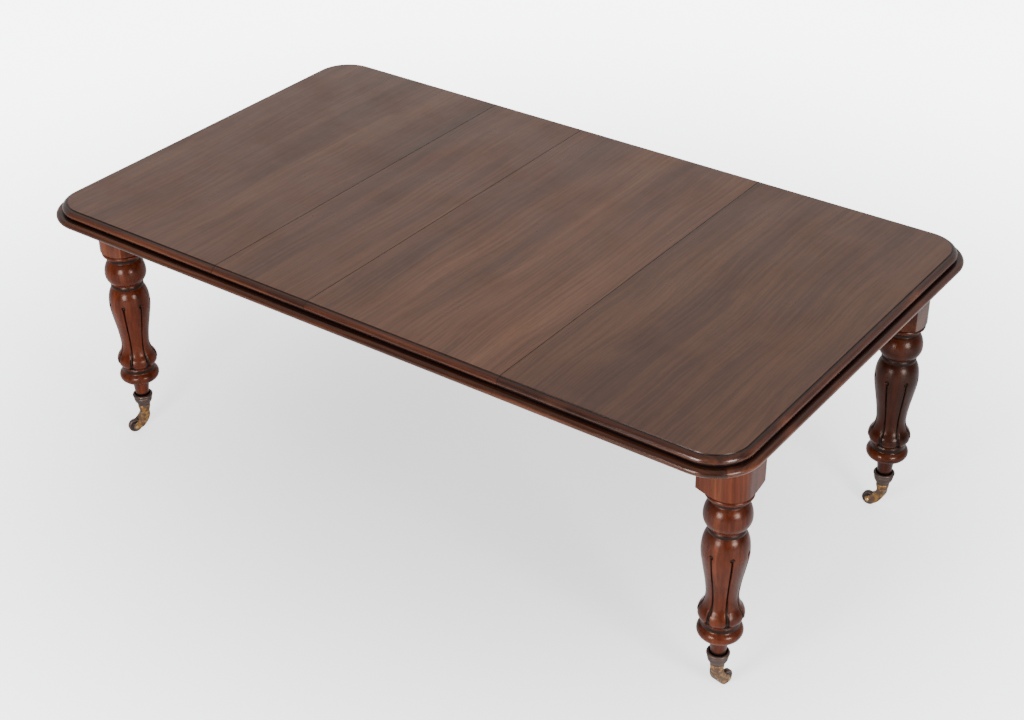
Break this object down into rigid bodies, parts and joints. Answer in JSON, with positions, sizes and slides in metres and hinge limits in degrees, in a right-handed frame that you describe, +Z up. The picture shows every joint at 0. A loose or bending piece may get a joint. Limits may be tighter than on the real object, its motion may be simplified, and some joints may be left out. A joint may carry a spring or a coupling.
{
  "type": "extending dining table",
  "caption": "Long extending dining table on turned fluted legs with castors; two end sections pull apart on three-stage wooden runners to take loose leaves.",
  "frame": {"origin": "on the floor, under the middle of the top with both leaves in place", "axes": "+X along the table's length towards the end section next to the wide leaf, -Y to the front long side, +Z up"},
  "size_m": [2.008, 1.18, 0.735],
  "materials": {
    "top_wood": "waxed, satin",
    "edge_wood": "polished",
    "leg_wood": "french polished, glossy",
    "rail_wood": "polished",
    "runner_wood": "bare, worn smooth",
    "peg_wood": "bare",
    "screw_steel": "dull",
    "cup_brass": "dark patina",
    "horn_brass": "worn, rubbed bright",
    "axle_brass": "dull",
    "wheel_lignum": "dense, dark, worn"
  },
  "bodies": {
    "left_half": {"left_end_board": "top_wood", "left_end_rim": "edge_wood", "left_front_rim": "edge_wood", "left_back_rim": "edge_wood", "left_end_pegs": "peg_wood", "left_end_rail": "rail_wood", "left_front_rail": "rail_wood", "left_back_rail": "rail_wood", "left_front_runner": "runner_wood", "left_back_runner": "runner_wood", "left_front_key": "peg_wood", "left_back_key": "peg_wood", "left_cross_bar": "runner_wood", "left_screws": "screw_steel", "left_front_leg": "leg_wood", "left_back_leg": "leg_wood", "left_front_castor_cup": "cup_brass", "left_back_castor_cup": "cup_brass"},
    "right_half": {"right_end_board": "top_wood", "right_end_rim": "edge_wood", "right_front_rim": "edge_wood", "right_back_rim": "edge_wood", "right_end_rail": "rail_wood", "right_front_rail": "rail_wood", "right_back_rail": "rail_wood", "right_front_runner": "runner_wood", "right_back_runner": "runner_wood", "right_front_key": "peg_wood", "right_back_key": "peg_wood", "right_cross_bar": "runner_wood", "right_screws": "screw_steel", "right_front_leg": "leg_wood", "right_back_leg": "leg_wood", "right_front_castor_cup": "cup_brass", "right_back_castor_cup": "cup_brass"},
    "narrow_leaf": {"narrow_leaf_board": "top_wood", "narrow_leaf_front_rim": "edge_wood", "narrow_leaf_back_rim": "edge_wood", "narrow_leaf_pegs": "peg_wood"},
    "wide_leaf": {"wide_leaf_board": "top_wood", "wide_leaf_front_rim": "edge_wood", "wide_leaf_back_rim": "edge_wood", "wide_leaf_pegs": "peg_wood"},
    "middle_runners": {"middle_front_runner": "runner_wood", "middle_back_runner": "runner_wood", "runner_stops": "peg_wood", "middle_cross_bar": "runner_wood", "middle_screws": "screw_steel"},
    "left_front_castor": {"left_front_castor_horn": "horn_brass", "left_front_castor_axle": "axle_brass"},
    "left_front_wheel": {"left_front_castor_wheel": "wheel_lignum"},
    "right_front_castor": {"right_front_castor_horn": "horn_brass", "right_front_castor_axle": "axle_brass"},
    "right_front_wheel": {"right_front_castor_wheel": "wheel_lignum"},
    "right_back_castor": {"right_back_castor_horn": "horn_brass", "right_back_castor_axle": "axle_brass"},
    "right_back_wheel": {"right_back_castor_wheel": "wheel_lignum"},
    "left_back_castor": {"left_back_castor_horn": "horn_brass", "left_back_castor_axle": "axle_brass"},
    "left_back_wheel": {"left_back_castor_wheel": "wheel_lignum"}
  },
  "joints": [
    {"name": "right_end_slide", "type": "slide", "parent": "left_half", "child": "right_half", "axis": [1, 0, 0], "range_m": [0, 0.105]},
    {"name": "narrow_leaf_slide", "type": "slide", "parent": "left_half", "child": "narrow_leaf", "axis": [1, 0, 0], "range_m": [0, 0.035]},
    {"name": "wide_leaf_slide", "type": "slide", "parent": "left_half", "child": "wide_leaf", "axis": [1, 0, 0], "range_m": [0, 0.07]},
    {"name": "middle_runner_slide", "type": "slide", "parent": "left_half", "child": "middle_runners", "axis": [1, 0, 0], "range_m": [0, 0.0525]},
    {"name": "left_front_swivel", "type": "hinge", "parent": "left_half", "child": "left_front_castor", "pos_m": [-0.905, -0.417, 0.05], "axis": [0, 0, 1], "continuous": true},
    {"name": "left_front_wheel_spin", "type": "hinge", "parent": "left_front_castor", "child": "left_front_wheel", "pos_m": [-0.91852, -0.446, 0.019], "axis": [0.9063, -0.4226, 0], "continuous": true},
    {"name": "right_front_swivel", "type": "hinge", "parent": "right_half", "child": "right_front_castor", "pos_m": [0.905, -0.417, 0.05], "axis": [0, 0, 1], "continuous": true},
    {"name": "right_front_wheel_spin", "type": "hinge", "parent": "right_front_castor", "child": "right_front_wheel", "pos_m": [0.91111, -0.38559, 0.019], "axis": [-0.9816, 0.1908, 0], "continuous": true},
    {"name": "right_back_swivel", "type": "hinge", "parent": "right_half", "child": "right_back_castor", "pos_m": [0.905, 0.417, 0.05], "axis": [0, 0, 1], "continuous": true},
    {"name": "right_back_wheel_spin", "type": "hinge", "parent": "right_back_castor", "child": "right_back_wheel", "pos_m": [0.87302, 0.41812, 0.019], "axis": [-0.0349, -0.9994, 0], "continuous": true},
    {"name": "left_back_swivel", "type": "hinge", "parent": "left_half", "child": "left_back_castor", "pos_m": [-0.905, 0.417, 0.05], "axis": [0, 0, 1], "continuous": true},
    {"name": "left_back_wheel_spin", "type": "hinge", "parent": "left_back_castor", "child": "left_back_wheel", "pos_m": [-0.934, 0.40348, 0.019], "axis": [0.4226, -0.9063, 0], "continuous": true}
  ],
  "couplings": [
    {"joint": "narrow_leaf_slide", "follows": "right_end_slide", "ratio": 0.3333},
    {"joint": "wide_leaf_slide", "follows": "right_end_slide", "ratio": 0.6666},
    {"joint": "middle_runner_slide", "follows": "right_end_slide", "ratio": 0.5}
  ]
}
